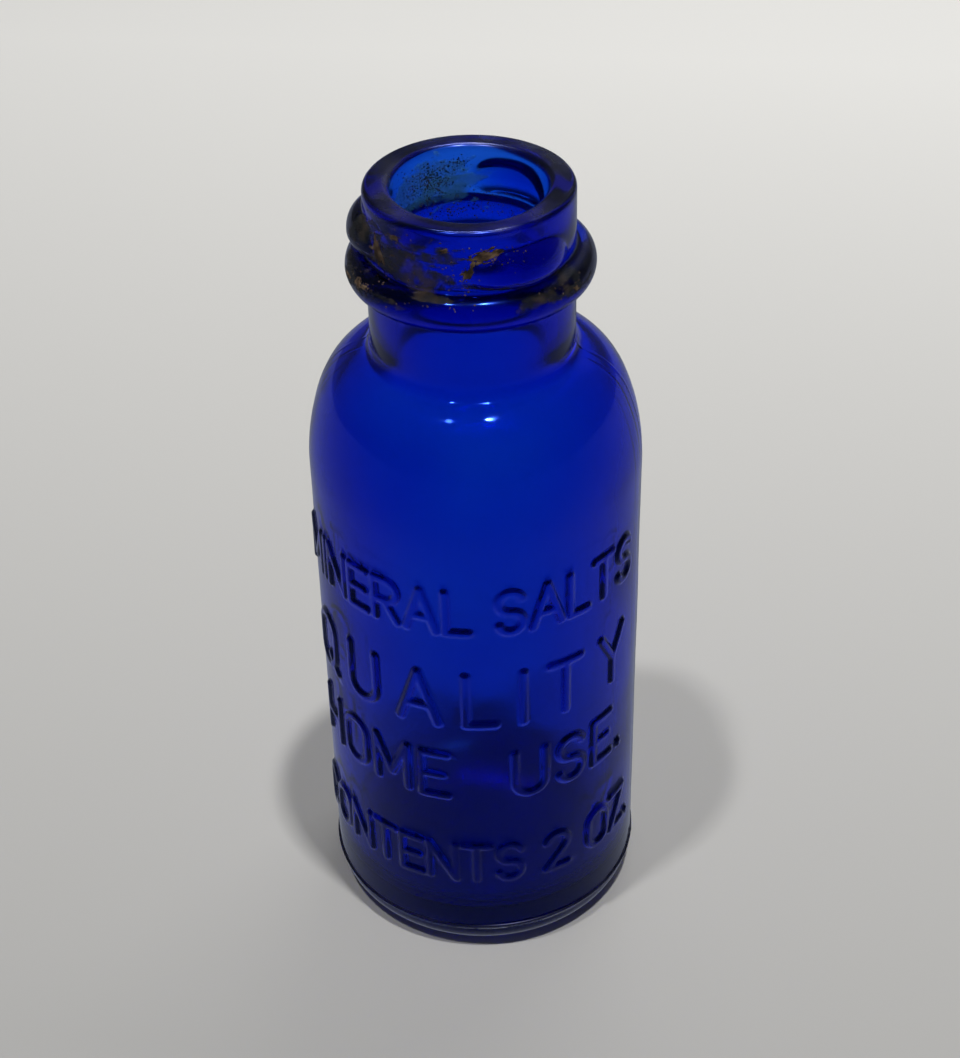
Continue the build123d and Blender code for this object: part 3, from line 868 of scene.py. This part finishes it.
CARD_DROP = 0.5 * MM  # keeps the card clear of the floor
card_mesh = floor_mesh.copy()
card = bpy.data.objects.new("reflected_floor", card_mesh)
card.location.z = -CARD_DROP
bpy.context.scene.collection.objects.link(card)
for ray in ("camera", "diffuse", "transmission", "volume_scatter", "shadow"):
    setattr(card, f"visible_{ray}", False)
dim, nodes, links, shader = new_material("dim_reflection")
shader.inputs["Base Color"].default_value = (0, 0, 0, 1)
shader.inputs["Specular IOR Level"].default_value = 0.0
shader.inputs["Emission Color"].default_value = (0.24, 0.26, 0.32, 1)
shader.inputs["Emission Strength"].default_value = 1.0
card_mesh.materials.append(dim)

# Painted light on the floor: its colour is painted shade at the first Y and painted light at the
# second, standing in for how the lamps' light falls off.
FLOOR_PAINTED_SHADE_AT, FLOOR_PAINTED_LIGHT_AT = -40 * MM, 260 * MM  # along Y
pale, nodes, links, shader = new_material("pale_floor_painted_falloff")
coordinates = nodes.new("ShaderNodeTexCoord")
position = nodes.new("ShaderNodeSeparateXYZ")
painted_falloff_share = nodes.new("ShaderNodeMapRange")
painted_falloff_share.inputs["From Min"].default_value = FLOOR_PAINTED_SHADE_AT
painted_falloff_share.inputs["From Max"].default_value = FLOOR_PAINTED_LIGHT_AT
ramp = nodes.new("ShaderNodeValToRGB")
# Painted shade near the viewer, painted light further back.
ramp.color_ramp.elements[0].color = (0.37, 0.364, 0.352, 1)
ramp.color_ramp.elements[1].color = (0.68, 0.67, 0.645, 1)
links.new(coordinates.outputs["Object"], position.inputs[0])
links.new(position.outputs["Y"], painted_falloff_share.inputs["Value"])
links.new(painted_falloff_share.outputs["Result"], ramp.inputs["Fac"])
links.new(ramp.outputs["Color"], shader.inputs["Base Color"])
shader.inputs["Roughness"].default_value = 0.8
floor_mesh.materials.append(pale)


def lamp(name, turn, rise, distance, size, power):
    """A lamp aimed at the bottle; turn from the viewer's side and rise in degrees, lengths in m."""
    data = bpy.data.lights.new(name, "AREA")
    data.shape = "RECTANGLE"
    data.size, data.size_y = size
    data.energy = power
    lamp_object = bpy.data.objects.new(name, data)
    side = VIEW_TURN + math.radians(turn)
    up = math.radians(rise)
    spot = Vector((math.sin(side) * math.cos(up), -math.cos(side) * math.cos(up), math.sin(up)))
    lamp_object.location = PIVOT + spot * distance
    lamp_object.rotation_euler = (-spot).to_track_quat("-Z", "Y").to_euler()
    bpy.context.scene.collection.objects.link(lamp_object)
    return lamp_object


LAMP_AWAY, LAMP_SIZE = 1.2, (0.06, 0.06)
for name, turn, rise, power in (("lamp_left", -46, 73.2, 5.3), ("lamp_right", 33, 77.8, 9.4)):
    lamp(name, turn, rise, LAMP_AWAY, LAMP_SIZE, power).visible_glossy = False
lamp("strip", 0, 110, 1.6, (0.60, 0.10), 16.0).visible_diffuse = False
lamp("back", 155, 35, 0.6, (0.4, 0.4), 1.0).visible_glossy = False
room = bpy.data.worlds.new("room")
room.use_nodes = True
background = room.node_tree.nodes["Background"]
background.inputs["Color"].default_value = (0.95, 0.98, 1.0, 1)
background.inputs["Strength"].default_value = 0.10
bpy.context.scene.world = room
bpy.context.scene.view_settings.view_transform = "Standard"
bpy.context.scene.view_settings.look = "None"
bpy.context.scene.cycles.max_bounces = 24
bpy.context.scene.cycles.transmission_bounces = 24
bpy.context.scene.cycles.use_denoising = True
print("lit")
